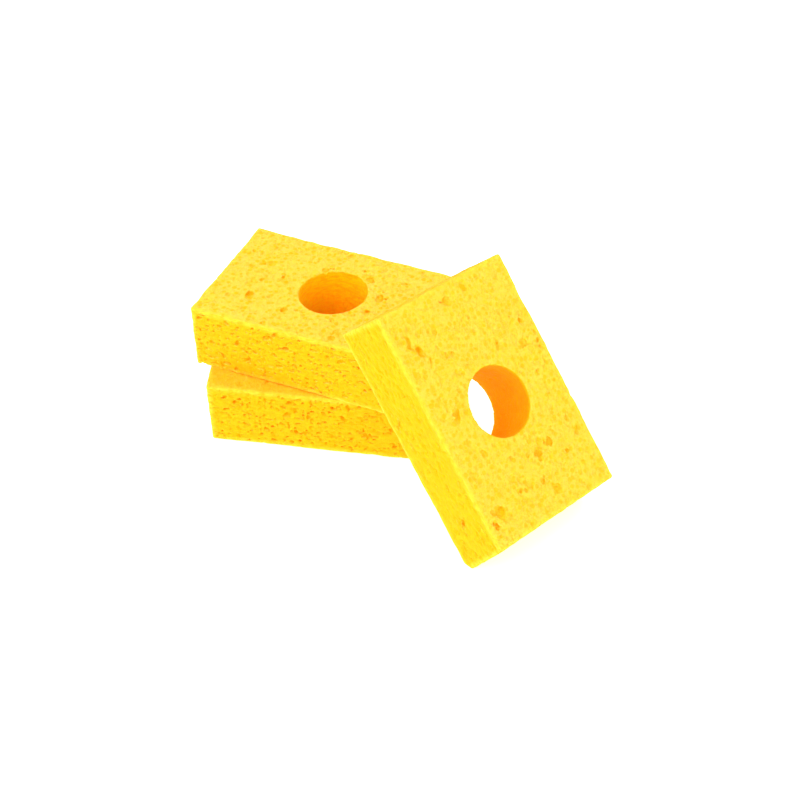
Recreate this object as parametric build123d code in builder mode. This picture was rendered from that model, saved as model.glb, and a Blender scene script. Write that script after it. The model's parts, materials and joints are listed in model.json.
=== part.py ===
from build123d import *

import os
from math import cos, radians, sin, tan

# Three die-cut cellulose sponges for wiping soldering iron tips: two stacked flat, one leaning on the stack.
# Every sponge is one rectangular foam block with a round wiping hole through its thickness.
#
# Row frame, in millimetres: the origin is the centre of the lower sponge's hole, on the table.
# +X runs along the lower sponge's length, +Y along its width towards the back, and +Z is up.

# Driving dimensions of one sponge
SPONGE_LENGTH = 80.0
SPONGE_WIDTH = 50.0
SPONGE_THICKNESS = 22.5
HOLE_DIAMETER = 23.0
EDGE_SOFTNESS = 0.8  # radius of the outer edges, which cut foam can't keep sharp

# How the sponges lie
UPPER_YAW = -13.5  # the upper sponge's turn about +Z against the lower one
UPPER_OFFSET = (-2.3, 2.3)  # the upper hole's centre from the lower hole's centre
LEAN_YAW = 53.0  # direction of the leaning sponge's foot edge, from +X towards +Y
LEAN_ANGLE = 42.5  # from the vertical, over the stack
FOOT_SLANT = 4.0  # the leaning sponge's foot end is cut this far out of square
CONTACT_ACROSS = 17.6  # from the leaning sponge's near edge to the stack corner it rests on
CONTACT_GAP = 0.3  # air left between the leaning sponge and that corner


def stack_corner():
    """The upper sponge's top corner that carries the leaning sponge."""
    yaw = radians(UPPER_YAW)
    along, across = SPONGE_LENGTH / 2, -SPONGE_WIDTH / 2
    return Vector(
        UPPER_OFFSET[0] + along * cos(yaw) - across * sin(yaw),
        UPPER_OFFSET[1] + along * sin(yaw) + across * cos(yaw),
        2 * SPONGE_THICKNESS,
    )


def flat_plane(level, yaw=0.0, centre=(0.0, 0.0)):
    """Plane under a sponge that lies flat, with the middle of its hole over a point."""
    turned = Plane(origin=(*centre, level), z_dir=(0, 0, 1)).rotated((0, 0, yaw - 90))
    corner = turned.from_local_coords(Vector(-SPONGE_WIDTH / 2, -SPONGE_LENGTH / 2, 0))
    return Plane(origin=corner, x_dir=turned.x_dir, z_dir=(0, 0, 1))


def leaning_plane():
    """Plane of the leaning sponge's underside, with x along its foot edge and y up its length."""
    yaw, lean, slant = radians(LEAN_YAW), radians(LEAN_ANGLE), radians(FOOT_SLANT)
    foot_edge = Vector(cos(yaw), sin(yaw), 0)
    towards_stack = Vector(-sin(yaw), cos(yaw), 0)
    up_the_length = towards_stack * sin(lean) + Vector(0, 0, cos(lean))
    outward = foot_edge.cross(up_the_length)
    # Both the corner and the foot edge are rounded, so the block sits closer and lower by what that takes away.
    facing = outward.rotate(Axis.Z, -UPPER_YAW)
    corner_rounding = EDGE_SOFTNESS * (abs(facing.X) + abs(facing.Y) + abs(facing.Z) - 1)
    foot_rounding = EDGE_SOFTNESS * (cos(lean) * (1 + sin(slant)) / cos(slant) + sin(lean) - 1)
    touch = stack_corner() + outward * (CONTACT_GAP - corner_rounding)
    length_to_touch = (touch.Z + foot_rounding) / cos(lean)
    foot = touch - up_the_length * length_to_touch - foot_edge * CONTACT_ACROSS
    return Plane(origin=foot, x_dir=foot_edge, z_dir=outward)


def sponge(plane, foot_slant=0.0):
    """One sponge on its underside's plane: width along x from the origin, length along y.

    The end at y = 0 may be cut out of square by foot_slant, which shortens the upper face.
    """
    setback = SPONGE_THICKNESS * tan(radians(foot_slant))
    side = Plane(origin=plane.origin, x_dir=plane.y_dir, z_dir=plane.x_dir)
    middle = Location((SPONGE_WIDTH / 2, SPONGE_LENGTH / 2, SPONGE_THICKNESS / 2))
    with BuildPart() as block:
        with BuildSketch(side):
            with BuildLine():
                Polyline(
                    (0, 0),
                    (SPONGE_LENGTH, 0),
                    (SPONGE_LENGTH, SPONGE_THICKNESS),
                    (setback, SPONGE_THICKNESS),
                    close=True,
                )
            make_face()
        extrude(amount=SPONGE_WIDTH)
        fillet(block.edges(), radius=EDGE_SOFTNESS)
        with Locations(plane.location * middle):
            Hole(radius=HOLE_DIAMETER / 2)
    return block


lower_sponge = sponge(flat_plane(0))
lower_sponge.part.label = "lower_sponge"

upper_sponge = sponge(flat_plane(SPONGE_THICKNESS, UPPER_YAW, UPPER_OFFSET))
upper_sponge.part.label = "upper_sponge"

leaning_sponge = sponge(leaning_plane(), FOOT_SLANT)
leaning_sponge.part.label = "leaning_sponge"

os.makedirs("parts", exist_ok=True)
for piece in (lower_sponge, upper_sponge, leaning_sponge):
    export_step(piece.part, f"parts/{piece.part.label}.step")
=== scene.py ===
"""Looks for three cellulose tip-cleaning sponges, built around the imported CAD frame.

Each CAD block is replaced by a foam block of real geometry: a signed distance field of the
rounded, slightly uneven block, less its hole and some thousands of flattened gas cells, is
turned into a mesh. Lengths in the field are in millimetres; the scene is in metres.
"""

import json
import math

import bpy
import numpy as np
from mathutils import Matrix, Vector


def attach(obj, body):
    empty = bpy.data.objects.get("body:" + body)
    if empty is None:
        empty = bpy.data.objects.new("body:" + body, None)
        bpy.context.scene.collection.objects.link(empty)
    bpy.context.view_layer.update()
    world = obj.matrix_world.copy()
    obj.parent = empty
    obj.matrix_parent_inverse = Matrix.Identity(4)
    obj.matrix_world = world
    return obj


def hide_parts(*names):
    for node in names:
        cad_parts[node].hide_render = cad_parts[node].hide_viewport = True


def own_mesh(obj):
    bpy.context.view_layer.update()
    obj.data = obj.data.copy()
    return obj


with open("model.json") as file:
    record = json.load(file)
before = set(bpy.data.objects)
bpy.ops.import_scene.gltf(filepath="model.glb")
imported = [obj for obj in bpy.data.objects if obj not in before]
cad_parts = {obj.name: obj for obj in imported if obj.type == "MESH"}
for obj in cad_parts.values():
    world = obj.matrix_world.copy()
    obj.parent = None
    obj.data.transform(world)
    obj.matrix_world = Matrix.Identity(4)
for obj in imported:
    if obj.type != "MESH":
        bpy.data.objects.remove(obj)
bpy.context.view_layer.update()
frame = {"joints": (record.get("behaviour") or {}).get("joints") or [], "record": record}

MM = 0.001
WARM = (1.0, 0.58, 0.58)

CAMERA_POSITION = Vector((0.10355, -0.43475, 0.37064))
CAMERA_RIGHT = Vector((0.98405, 0.17736, -0.01353))
CAMERA_UP = Vector((-0.10285, 0.62941, 0.77024))
LENS, SENSOR_WIDTH = 75.3, 36.0
FLOOR_REACH = 6.0
FLOOR_GAP = 0.0002  # keeps the floor from sharing a plane with the sponges' undersides

# One sponge, in its own coordinates: x along the length, y across, z through the thickness,
# with the origin in the middle of the hole on the underside.
LENGTH, WIDTH, THICKNESS = 80.0, 50.0, 22.5
EDGE_RADIUS = 0.6
UPPER_YAW = math.radians(-13.5)
PROUD = 0.24  # how far the faces stand out, to make up for the rounding that the grid adds

EDGE_BAND = 2.6  # width of the painted highlight along the outer edges
BORE_BAND = 1.6  # how far from the hole's wall the foam takes the hole's painted light and shade
PIT_DEPTH = 1.2  # depth at which a pit has its full painted shade

# Unevenness of the surface: wavelengths along, across and through, and height
WAVES = (16, 16, 12), 0.18
LUMPS = (3.2, 3.2, 1.8), 0.10
GRAIN = (1.1, 1.1, 0.8), 0.10
BORE_WAVES = (6, 6, 6), 0.12
BORE_GRAIN = 0.4  # share of the grain that the hole's wall has
CELL_WARP = (1.7, 1.7, 1.3), 0.32

# Gas cells: how many per cubic millimetre, their half-widths, and thickness over width
CELL_SIZES = (
    (0.012, (0.9, 1.4), (0.40, 0.55)),
    (0.24, (0.6, 0.95), (0.42, 0.60)),
    (0.80, (0.42, 0.62), (0.60, 0.80)),
)
SIZE_SKEW = 2.2  # above 1, more of the cells are near the small end of their range
RIM_SOFTNESS = 0.3  # rounding where a hole or a cell breaks through the surface
PLACED_RIM_SOFTNESS = 0.2  # the same for the pits that are placed one by one

CELL = 0.45  # grid spacing of the distance field
MARGIN = 3 * CELL
SPLINE_GAIN = 2.2  # makes up for what the B-splines smooth away
MOST_TRIANGLES = 190_000  # per sponge


# ---------------------------------------------------------------- camera, light and stage


def add_camera():
    data = bpy.data.cameras.new("camera")
    data.lens, data.sensor_width = LENS, SENSOR_WIDTH
    data.clip_start, data.clip_end = 0.01, 20.0
    camera = bpy.data.objects.new("camera", data)
    axes = Matrix((CAMERA_RIGHT, CAMERA_UP, CAMERA_RIGHT.cross(CAMERA_UP))).transposed()
    camera.matrix_world = Matrix.Translation(CAMERA_POSITION) @ axes.to_4x4()
    bpy.context.scene.collection.objects.link(camera)
    bpy.context.scene.camera = camera


def add_area_light(name, position, target, size, power, colour):
    data = bpy.data.lights.new(name, "AREA")
    data.shape, data.size, data.energy, data.color = "DISK", size, power, colour
    light = bpy.data.objects.new(name, data)
    light.location = position
    aim = Vector(target) - Vector(position)
    light.rotation_euler = aim.to_track_quat("-Z", "Y").to_euler()
    bpy.context.scene.collection.objects.link(light)


def add_stage():
    mesh = bpy.data.meshes.new("floor")
    signs = ((-1, -1), (1, -1), (1, 1), (-1, 1))
    corners = [(FLOOR_REACH * x, FLOOR_REACH * y, 0) for x, y in signs]
    mesh.from_pydata(corners, [], [(0, 1, 2, 3)])
    floor = bpy.data.objects.new("floor", mesh)
    bpy.context.scene.collection.objects.link(floor)
    floor.location.z = -FLOOR_GAP
    paint = bpy.data.materials.new("floor_white")
    paint.use_nodes = True
    shader = paint.node_tree.nodes["Principled BSDF"]
    shader.inputs["Base Color"].default_value = (0.97, 0.97, 0.97, 1)
    shader.inputs["Roughness"].default_value = 0.9
    shader.inputs["Specular IOR Level"].default_value = 0.1
    shader.inputs["Emission Color"].default_value = (1, 1, 1, 1)
    shader.inputs["Emission Strength"].default_value = 0.6
    mesh.materials.append(paint)

    world = bpy.data.worlds.new("studio")
    world.use_nodes = True
    sky = world.node_tree.nodes["Background"]
    sky.inputs["Color"].default_value = (*WARM, 1)
    sky.inputs["Strength"].default_value = 1.74
    bpy.context.scene.world = world
    bpy.context.scene.view_settings.view_transform = "Standard"


# ---------------------------------------------------------------- distance field of one sponge


def axis_samples(low, high):
    return np.arange(low - MARGIN, high + MARGIN + CELL, CELL)


def smooth_noise(rng, axes, wavelengths, height):
    """Seeded noise on the grid, between about -height and height.

    It is random values, a wavelength apart, joined by cubic B-splines.
    """
    weights = []
    for samples, wave in zip(axes, wavelengths):
        u = (samples - samples[0]) / wave
        count = int(u[-1]) + 5
        near = np.abs(u[:, None] + 1.5 - np.arange(count)[None, :])
        inner = 2 / 3 - near**2 + near**3 / 2
        outer = np.clip(2 - near, 0, None) ** 3 / 6
        weights.append(np.where(near < 1, inner, outer))
    values = rng.uniform(-1, 1, [w.shape[1] for w in weights])
    for w in weights:
        values = np.tensordot(values, w.T, axes=(0, 0))
    return (values * SPLINE_GAIN).astype(np.float32) * height


def face_depths(x, y, z, shape):
    """How far inside each pair of the block's faces a point lies: ends, sides and flats."""
    across, up = y / (WIDTH / 2), z / (THICKNESS / 2) - 1
    low_end = LENGTH / 2 + shape["low_end"] - shape["low_skew"] * across - shape["low_lean"] * up
    low_end = low_end + shape["low_bulge"] * (1 - across**2)
    high_end = LENGTH / 2 + shape["high_end"] + shape["high_skew"] * across
    along = x / (LENGTH / 2)
    left = WIDTH / 2 + shape["left_side"] + shape["left_taper"] * along
    right = WIDTH / 2 + shape["right_side"] + shape["right_taper"] * along
    droop = shape["droop"] * along**2 * np.clip(-across, 0, 1)
    return (
        np.minimum(x + low_end, high_end - x) + PROUD,
        np.minimum(left - y, right + y) + PROUD,
        np.minimum(z + droop, THICKNESS - z),
    )


def hole_distance(x, y, z, shape):
    """Signed distance to the hole's wall, positive in the foam."""
    hx, hy, along, across = shape["hole"]
    flare = shape["hole_flare"] * (1 - z / THICKNESS)
    ratio = np.hypot((x - hx) / along, (y - hy) / across)
    return (ratio - 1) * (along + across) / 2 - flare


def rounded_block(x, y, z, shape):
    """Signed distance to the block, negative inside."""
    dx, dy, dz = (EDGE_RADIUS - depth for depth in face_depths(x, y, z, shape))
    outside = np.sqrt(
        np.maximum(dx, 0) ** 2 + np.maximum(dy, 0) ** 2 + np.maximum(dz, 0) ** 2
    )
    return outside + np.minimum(np.maximum(np.maximum(dx, dy), dz), 0) - EDGE_RADIUS


def carve(field, keep_out, softness):
    """Takes a shape away, with a little rounding at the rim."""
    low = -keep_out
    blend = np.clip(0.5 + 0.5 * (field - low) / softness, 0, 1)
    return low + (field - low) * blend + softness * blend * (1 - blend)


def gas_cells(rng, solid, axes, shape, count, radius, flatness):
    """The cells that open on a surface of the solid field, none of them at the block's edges.

    A row is the centre, the half-width, the height and the length against that, and the turn.
    """
    low = np.array([a[0] for a in axes])
    high = np.array([a[-1] for a in axes])
    centres = rng.uniform(low, high, (count, 3))
    sizes = rng.uniform(0, 1, count) ** SIZE_SKEW * (radius[1] - radius[0]) + radius[0]
    squash = rng.uniform(flatness[0], flatness[1], count)
    stretch = rng.uniform(*shape["stretch"], count)
    turn = rng.uniform(-shape["turn"], shape["turn"], count)
    index = ((centres - low) / CELL).astype(int)
    # A cell opens if its centre is from just outside the surface to half its width inside, and the
    # block's edges and the hole's rim are left whole.
    depth = -solid[index[:, 0], index[:, 1], index[:, 2]]
    opens = (depth > -0.35 * sizes * squash) & (depth < 0.55 * sizes)
    opens &= np.sort(face_depths(*centres.T, shape), axis=0)[1] > 2.4 * sizes - 0.2
    opens &= hole_distance(*centres.T, shape) > 1.3 * sizes - 0.1
    return np.column_stack([centres, sizes, squash, stretch, turn])[opens]


def placed_cells(shape):
    """The few largest pits of the top face, as round cells just under it."""
    squash, stretch, turn = 0.6, 1.0, 0.0
    return [
        (x, y, THICKNESS - 0.1 * size, size, squash, stretch, turn)
        for x, y, size in shape["pits"]
    ]


def carve_cells(field, cells, axes, warp, softness):
    """Takes the cells, their walls warped, away from the field."""
    low = np.array([a[0] for a in axes])
    shape = np.array(field.shape)
    for cx, cy, cz, size, squash, stretch, turn in cells:
        reach = np.array([size * 1.5, size * 1.5, size * squash * 1.3]) + 2.5 * CELL
        centre = np.array([cx, cy, cz])
        first = np.maximum(((centre - reach - low) / CELL).astype(int), 0)
        last = np.minimum(((centre + reach - low) / CELL).astype(int) + 2, shape)
        if np.any(first >= last):
            continue
        part = tuple(slice(a, b) for a, b in zip(first, last))
        x = axes[0][part[0]][:, None, None] + warp[0][part] - cx
        y = axes[1][part[1]][None, :, None] + warp[1][part] - cy
        z = axes[2][part[2]][None, None, :] + warp[2][part] - cz
        c, s = math.cos(turn), math.sin(turn)
        u = (c * x + s * y) / (size * stretch)
        v = (-s * x + c * y) * stretch / size
        w = z / (size * squash)
        ball = (np.sqrt(u * u + v * v + w * w) - 1) * size * math.sqrt(squash)
        field[part] = carve(field[part], ball, softness)


# ---------------------------------------------------------------- mesh from the field


def surface_net(field, axes):
    """Vertices and quads of the field's zero level, one vertex to a mixed grid cell."""
    inside = field < 0
    cells = tuple(n - 1 for n in field.shape)

    def corner(array, offset):
        return array[tuple(slice(o, o + n) for o, n in zip(offset, cells))]

    corners = [(i, j, k) for i in (0, 1) for j in (0, 1) for k in (0, 1)]
    filled = sum(corner(inside, c).astype(np.int8) for c in corners)
    mixed = (filled > 0) & (filled < 8)
    index = np.full(cells, -1, np.int64)
    index[mixed] = np.arange(mixed.sum())
    total = np.zeros((mixed.sum(), 3))
    crossings = np.zeros(mixed.sum())
    for axis in range(3):
        for start in corners:
            if start[axis]:
                continue
            end = tuple(s + (n == axis) for n, s in enumerate(start))
            a, b = corner(field, start)[mixed], corner(field, end)[mixed]
            cut = (a < 0) != (b < 0)
            share = a[cut] / (a[cut] - b[cut])
            point = np.tile(np.array(start, float), (cut.sum(), 1))
            point[:, axis] += share
            total[cut] += point
            crossings[cut] += 1
    base = np.argwhere(mixed)
    low = np.array([a[0] for a in axes])
    vertices = low + (base + total / crossings[:, None]) * CELL

    quads = []
    for axis in range(3):
        b_axis, c_axis = (axis + 1) % 3, (axis + 2) % 3
        first = np.take(inside, range(inside.shape[axis] - 1), axis)
        second = np.take(inside, range(1, inside.shape[axis]), axis)
        cut = first != second
        edge = np.argwhere(cut)
        keep = (edge[:, b_axis] > 0) & (edge[:, c_axis] > 0)
        keep &= (edge[:, b_axis] < cells[b_axis]) & (edge[:, c_axis] < cells[c_axis])
        edge = edge[keep]
        outward = first[tuple(edge.T)]
        ring = []
        for db, dc in ((-1, -1), (0, -1), (0, 0), (-1, 0)):
            at = edge.copy()
            at[:, b_axis] += db
            at[:, c_axis] += dc
            ring.append(index[tuple(at.T)])
        ring = np.stack(ring, 1)
        ring[~outward] = ring[~outward][:, ::-1]
        quads.append(ring)
    return vertices, np.concatenate(quads)


def largest_shell(vertices, quads):
    """Drops sealed bubbles and crumbs: every quad that isn't joined to the biggest shell."""
    label, new = None, np.arange(len(vertices))
    while not np.array_equal(new, label):
        label = new
        lowest = label[quads].min(1)
        new = label.copy()
        for corner in range(4):
            np.minimum.at(new, quads[:, corner], lowest)
        new = new[new]
    shells, sizes = np.unique(label[quads[:, 0]], return_counts=True)
    quads = quads[label[quads[:, 0]] == shells[sizes.argmax()]]
    used, flat = np.unique(quads, return_inverse=True)
    return vertices[used], flat.reshape(quads.shape)


def surface_values(vertices, shape):
    """What the material needs to know at each vertex, as shares from 0 to 1."""
    place = vertices.T
    depths = np.sort(face_depths(*place, shape), axis=0)
    bore = hole_distance(*place, shape)
    in_bore = np.clip(1 - bore / BORE_BAND, 0, 1) * np.clip(depths[0] / PIT_DEPTH, 0, 1)
    # Painted shade in the hole, from the rim share at the top to the deep share at the underside
    rim_shade, deep_shade = shape["bore_shades"]
    down = np.clip(1 - place[2] / THICKNESS, 0, 1) ** 1.5
    return {
        "pit": np.minimum(depths[0], bore) / PIT_DEPTH,
        "bore": in_bore,
        "bore_shade": in_bore * (rim_shade + (deep_shade - rim_shade) * down),
        "pale": np.full(len(vertices), shape["pale"]),
        "edge": 1.1 - depths[1] / EDGE_BAND,
    }


def sponge_mesh(name, matrix, shape):
    """The foam block in its own coordinates, cut off at the floor that the matrix puts it on."""
    rng = np.random.default_rng(shape["seed"])
    axes = (
        axis_samples(-LENGTH / 2 - 2, LENGTH / 2 + 2),
        axis_samples(-WIDTH / 2 - 1, WIDTH / 2 + 1),
        axis_samples(-1, THICKNESS),
    )
    x = axes[0][:, None, None]
    y = axes[1][None, :, None]
    z = axes[2][None, None, :]
    waves = smooth_noise(rng, axes, *WAVES)
    lumps = smooth_noise(rng, axes, *LUMPS)
    grain = smooth_noise(rng, axes, *GRAIN)
    solid = rounded_block(x, y, z, shape) + waves + lumps + grain
    bore_waves = smooth_noise(rng, axes, *BORE_WAVES)
    hole_wall = hole_distance(x, y, z, shape) + bore_waves + grain * BORE_GRAIN
    field = carve(solid, hole_wall, RIM_SOFTNESS)

    warp = [smooth_noise(rng, axes, *CELL_WARP) for _ in range(3)]
    volume = np.prod([a[-1] - a[0] for a in axes])
    carve_cells(field, placed_cells(shape), axes, warp, PLACED_RIM_SOFTNESS)
    for per_mm3, radius, flatness in CELL_SIZES:
        cells = gas_cells(rng, field, axes, shape, int(volume * per_mm3), radius, flatness)
        carve_cells(field, cells, axes, warp, RIM_SOFTNESS)
    rise_x, rise_y, rise_z, level = matrix[2]
    above_floor = rise_x * x + rise_y * y + rise_z * z + level / MM
    field = carve(field, above_floor, RIM_SOFTNESS)

    vertices, quads = largest_shell(*surface_net(field, axes))
    mesh = bpy.data.meshes.new(name)
    mesh.from_pydata((vertices * MM).tolist(), [], quads.tolist())
    for key, value in surface_values(vertices, shape).items():
        layer = mesh.attributes.new(key, "FLOAT", "POINT")
        layer.data.foreach_set("value", np.clip(value, 0, 1).astype(np.float32))
    mesh.update()
    return mesh


# ---------------------------------------------------------------- material

# Colours of the foam, each on the narrow cut faces and on the broad ones. The broad faces'
# paler, bluer colours are painted sheen and painted light.
FACE = (1.0, 0.53, 0.004), (1.0, 0.70, 0.036)
PALE = (1.0, 0.58, 0.010), (1.0, 0.73, 0.096)
DEEP = (1.0, 0.50, 0.003), (1.0, 0.59, 0.007)  # in the painted pores and streaks
PIT_SHADE = (1.0, 0.55, 0.004), (1.0, 0.64, 0.006)  # painted shade in the pits

# Colours that are the same on every face
# Painted highlight along the outer edges
EDGE_HIGHLIGHT = (1.0, 0.76, 0.060)
# Painted light and shade in the hole: deep yellow near the rim, orange further down and in the
# pores of its wall, for the light bounced between its walls
BORE_PAINTED_LIGHT = (1.0, 0.82, 0.004)
BORE_PAINTED_SHADE = (1.0, 0.45, 0.003)
BORE_PORE_SHADE = (1.0, 0.33, 0.002)
GLOSS = (1.0, 0.75, 0.05, 1)

PORE_RIM = 0.22  # width of a painted pore's soft rim, as a share of the pores' spacing


def sponge_material():
    material = bpy.data.materials.new("cellulose_sponge")
    material.use_nodes = True
    nodes, links = material.node_tree.nodes, material.node_tree.links
    shader = nodes["Principled BSDF"]

    def node(kind, **settings):
        """A new node; a setting is the value of an input or a property of the node."""
        made = nodes.new(kind)
        for key, value in settings.items():
            if key in made.inputs:
                made.inputs[key].default_value = value
            else:
                setattr(made, key, value)
        return made

    def math_node(operation, *values):
        made = node("ShaderNodeMath", operation=operation)
        for socket, value in zip(made.inputs, values):
            if isinstance(value, (int, float)):
                socket.default_value = value
            else:
                links.new(value, socket)
        return made.outputs[0]

    def times(a, b):
        return math_node("MULTIPLY", a, b)

    def plus(a, b):
        return math_node("ADD", a, b)

    def strongest(first, *others):
        for other in others:
            first = math_node("MAXIMUM", first, other)
        return first

    def mix(factor, a, b):
        made = node("ShaderNodeMix", data_type="RGBA")
        links.new(factor, made.inputs[0])
        for socket, value in ((made.inputs[6], a), (made.inputs[7], b)):
            if isinstance(value, tuple):
                socket.default_value = (*value, 1)
            else:
                links.new(value, socket)
        return made.outputs[2]

    def ramp(value, low, high):
        made = node("ShaderNodeMapRange", interpolation_type="SMOOTHSTEP")
        made.inputs["From Min"].default_value = low
        made.inputs["From Max"].default_value = high
        links.new(value, made.inputs["Value"])
        return made.outputs[0]

    def flattened(share):
        """Coordinates in which a pattern is this many times thinner through the thickness."""
        made = node("ShaderNodeMapping", Scale=(1, 1, share))
        links.new(place, made.inputs["Vector"])
        return made.outputs[0]

    def noise(size_mm, detail=2.0, strata=False):
        made = node("ShaderNodeTexNoise", Scale=1 / (size_mm * MM), Detail=detail)
        links.new(thin_layers if strata else cells_flat, made.inputs["Vector"])
        return made.outputs["Fac"]

    def fine_pores(spacing_mm, share, least=0.0):
        """Round pores, with half-widths from least to least + share of the spacing."""
        cells = node("ShaderNodeTexVoronoi", Scale=1 / (spacing_mm * MM))
        links.new(cells_flat, cells.inputs["Vector"])
        split = node("ShaderNodeSeparateColor")
        links.new(cells.outputs["Color"], split.inputs[0])
        reach = plus(times(split.outputs[0], share), least)
        closeness = math_node("SUBTRACT", reach, cells.outputs["Distance"])
        return ramp(closeness, 0.0, PORE_RIM)

    place = node("ShaderNodeTexCoord").outputs["Object"]
    cells_flat, thin_layers = flattened(1.9), flattened(3.2)
    pit, bore, bore_shade, painted_light_share, edge = (
        node("ShaderNodeAttribute", attribute_name=name).outputs["Fac"]
        for name in ("pit", "bore", "bore_shade", "pale", "edge")
    )

    # How much a face is one of the two broad ones, which take the paler colours of painted sheen
    # and light, as much as the sponge's share of that says
    tilt = node("ShaderNodeSeparateXYZ")
    links.new(node("ShaderNodeTexCoord").outputs["Normal"], tilt.inputs["Vector"])
    broad = times(ramp(math_node("ABSOLUTE", tilt.outputs[2]), 0.35, 0.9), painted_light_share)
    narrow = math_node("SUBTRACT", 0.85, broad)

    flecks = fine_pores(2.1, 0.18, least=0.35)
    pores_wide = fine_pores(2.1, 0.50)
    pores_small = fine_pores(0.75, 0.72)
    pores_tiny = fine_pores(0.42, 0.70)
    patches = ramp(noise(6), 0.3, 0.7)
    speckle = ramp(noise(1.4, detail=4.0), 0.3, 0.7)
    streaks = ramp(noise(2.2, strata=True), 0.42, 0.60)
    highlight_breakup = ramp(noise(2.5), 0.35, 0.65)

    # Each colour is paler on the broad faces, as painted sheen and light
    face, pale, deep, pit_shade = (mix(broad, *pair) for pair in (FACE, PALE, DEEP, PIT_SHADE))
    # How strongly each kind of pore, streak and fleck takes the deep colour
    dark = strongest(
        times(pores_small, 0.35),
        times(pores_tiny, 0.2),
        times(pores_wide, 0.4),
        times(streaks, narrow),
        times(times(flecks, broad), 0.9),
    )
    # Painted highlight along the outer edges, broken up by noise
    edge_highlight = times(ramp(edge, 0.2, 1.0), plus(times(highlight_breakup, 0.6), 0.3))
    colour = mix(speckle, face, pale)
    colour = mix(times(patches, 0.5), colour, pale)
    colour = mix(dark, colour, deep)
    colour = mix(edge_highlight, colour, EDGE_HIGHLIGHT)
    # Painted shade in the pits, stronger the deeper the surface lies under the block's faces and
    # the hole's wall
    colour = mix(times(ramp(pit, 0.1, 1.0), 0.75), colour, pit_shade)
    # Painted light and shade in the hole: brighter near the rim, orange deeper down and in its
    # pores
    colour = mix(bore, colour, BORE_PAINTED_LIGHT)
    colour = mix(bore_shade, colour, BORE_PAINTED_SHADE)
    colour = mix(times(times(dark, bore), 0.35), colour, BORE_PORE_SHADE)
    links.new(colour, shader.inputs["Base Color"])

    rough = node("ShaderNodeMapRange")
    rough.inputs["To Min"].default_value = 0.62
    rough.inputs["To Max"].default_value = 0.92
    links.new(speckle, rough.inputs["Value"])
    links.new(rough.outputs[0], shader.inputs["Roughness"])
    shader.inputs["Specular IOR Level"].default_value = 0.2
    shader.inputs["Specular Tint"].default_value = GLOSS
    shader.inputs["Sheen Weight"].default_value = 0.15
    shader.inputs["Sheen Roughness"].default_value = 0.5
    shader.inputs["Sheen Tint"].default_value = GLOSS
    shader.inputs["Subsurface Weight"].default_value = 0.6
    shader.inputs["Subsurface Radius"].default_value = (1.0, 0.5, 0.15)
    shader.inputs["Subsurface Scale"].default_value = 0.002

    pore_relief = plus(times(pores_small, -0.15), times(pores_tiny, -0.1))
    height = plus(pore_relief, times(noise(0.35), 0.1))
    bump = node("ShaderNodeBump", Strength=1.0, Distance=0.001)
    links.new(height, bump.inputs["Height"])
    links.new(bump.outputs[0], shader.inputs["Normal"])
    return material


# ---------------------------------------------------------------- the three sponges


def mount(name):
    return next(m for m in frame["record"]["mounts"] if m["name"] == name)


def placement(length_axis, thickness_axis, hole_on_underside):
    across = thickness_axis.cross(length_axis)
    axes = Matrix((length_axis, across, thickness_axis)).transposed()
    return Matrix.Translation(hole_on_underside) @ axes.to_4x4()


def placements():
    up = Vector((0, 0, 1))
    lower = placement(Vector((1, 0, 0)), up, Vector((0, 0, 0)))
    upper_hole = Vector(mount("upper_hole")["pos_m"])
    upper_hole.z -= THICKNESS * MM / 2
    upper_along = Vector((math.cos(UPPER_YAW), math.sin(UPPER_YAW), 0))
    upper = placement(upper_along, up, upper_hole)
    hinge = next(j for j in frame["joints"] if j["name"] == "leaning_tilt")
    outward = Vector(mount("leaning_hole")["axis"]).normalized()
    foot_edge = Vector(hinge["axis"]).normalized()
    along = outward.cross(foot_edge).normalized()
    underside = Vector(mount("leaning_hole")["pos_m"]) - outward * THICKNESS * MM / 2
    leaning = placement(along, outward, underside)
    return {"lower_sponge": lower, "upper_sponge": upper, "leaning_sponge": leaning}
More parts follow.
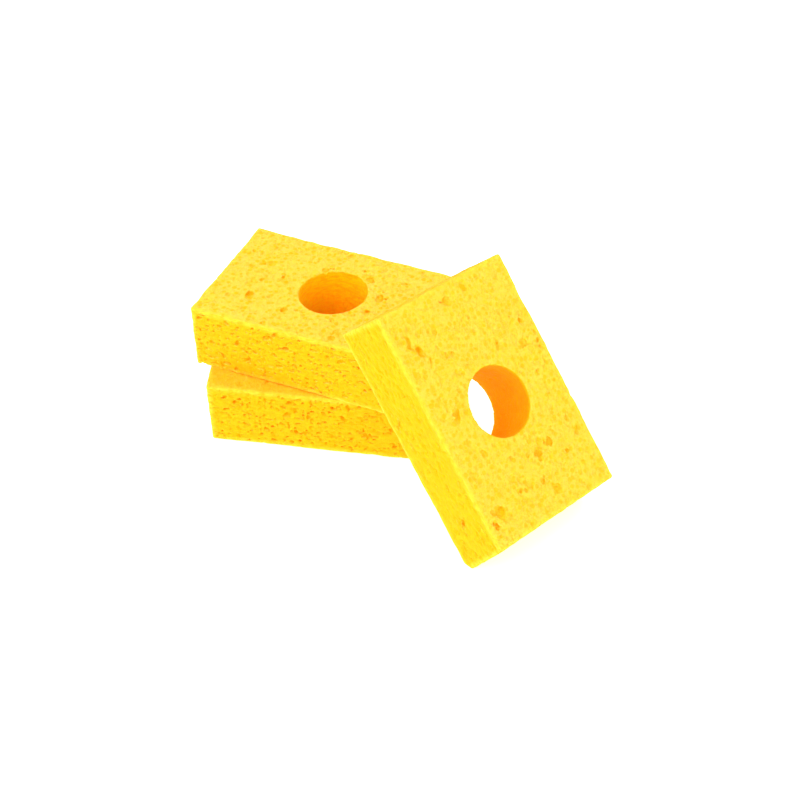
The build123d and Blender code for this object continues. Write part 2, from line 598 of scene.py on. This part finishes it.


# A sponge cut dead true, in millimetres. The ends and sides say how far a face stands out in its
# middle, and lean, skew, taper, bulge and droop by how much more it does so where that is greatest.
# The hole is its middle and its half-widths along and across, and the flare is how much further
# out its wall is at the underside. The hole's shades are how much painted shade it has at the top
# and at the underside, orange for the light bounced between its walls. Stretch and turn are the
# ranges of the cells' lengths and directions, and the pits are x, y and half-width.
TRUE_CUT = dict(
    low_end=0.0,
    low_skew=0.0,
    low_lean=0.0,
    low_bulge=0.0,
    high_end=0.0,
    high_skew=0.0,
    left_side=0.0,
    left_taper=0.0,
    right_side=0.0,
    right_taper=0.0,
    droop=0.0,
    hole=(0.0, 0.0, 11.5, 11.5),
    hole_flare=0.0,
    bore_shades=(1.0, 1.0),
    pale=1.0,
    stretch=(0.8, 1.4),
    turn=1.6,
    pits=(),
)
SHAPES = {
    "lower_sponge": dict(
        TRUE_CUT,
        seed=11,
        low_end=-0.25,
        low_lean=-0.25,
        low_bulge=2.0,
        # Painted shade: the lower sponge's top, under the upper one, takes less of the broad faces'
        # painted sheen and light
        pale=0.45,
    ),
    "upper_sponge": dict(
        TRUE_CUT,
        seed=12,
        low_end=0.1,
        low_skew=-0.55,
        left_side=-0.1,
        left_taper=-0.6,
        droop=0.9,
        hole=(-0.2, 0.7, 11.3, 12.0),
        bore_shades=(0.0, 1.2),
        pits=(
            (-25, -11, 1.7),
            (-22.5, -6.5, 1.3),
            (8, 12.5, 1.2),
            (15.5, 3, 1.3),
            (14.5, -5, 1.3),
            (10, -22, 1.3),
        ),
    ),
    "leaning_sponge": dict(
        TRUE_CUT,
        seed=13,
        low_end=0.3,
        low_skew=0.2,
        low_lean=2.0,
        high_end=0.2,
        high_skew=0.4,
        left_side=-0.2,
        right_side=0.1,
        right_taper=0.5,
        hole=(0.7, 0.0, 11.4, 10.9),
        hole_flare=1.0,
        stretch=(1.1, 1.7),
        turn=0.5,
        pale=0.82,
        pits=(
            (35, 0, 1.6),
            (12.5, -18, 1.3),
            (-19.5, -4, 1.3),
            (-21.5, 9.5, 1.4),
            (-32, -4, 1.5),
            (-28, 18.5, 1.8),
        ),
    ),
}


def add_sponge(node, matrix, material, shape):
    mesh = sponge_mesh(node + "_foam", matrix, shape)
    mesh.materials.append(material)
    foam = bpy.data.objects.new(node + "_foam", mesh)
    bpy.context.scene.collection.objects.link(foam)
    triangles = 2 * len(mesh.polygons)
    if triangles > MOST_TRIANGLES:
        thin = foam.modifiers.new("thin", "DECIMATE")
        thin.ratio = MOST_TRIANGLES / triangles
        bpy.context.view_layer.update()
        graph = bpy.context.evaluated_depsgraph_get()
        foam.data = bpy.data.meshes.new_from_object(foam.evaluated_get(graph))
        foam.modifiers.clear()
    foam.data.polygons.foreach_set("use_smooth", [True] * len(foam.data.polygons))
    foam.matrix_world = matrix
    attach(foam, node)
    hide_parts(node)
    return foam


add_camera()
add_stage()
add_area_light(
    "key", (-0.35, -0.75, 1.0), target=(0.02, -0.02, 0.02), size=1.0, power=9, colour=WARM
)
foam_material = sponge_material()
places = placements()
foams = {
    sponge: add_sponge(sponge, place, foam_material, SHAPES[sponge])
    for sponge, place in places.items()
}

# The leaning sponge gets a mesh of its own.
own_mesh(foams["leaning_sponge"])
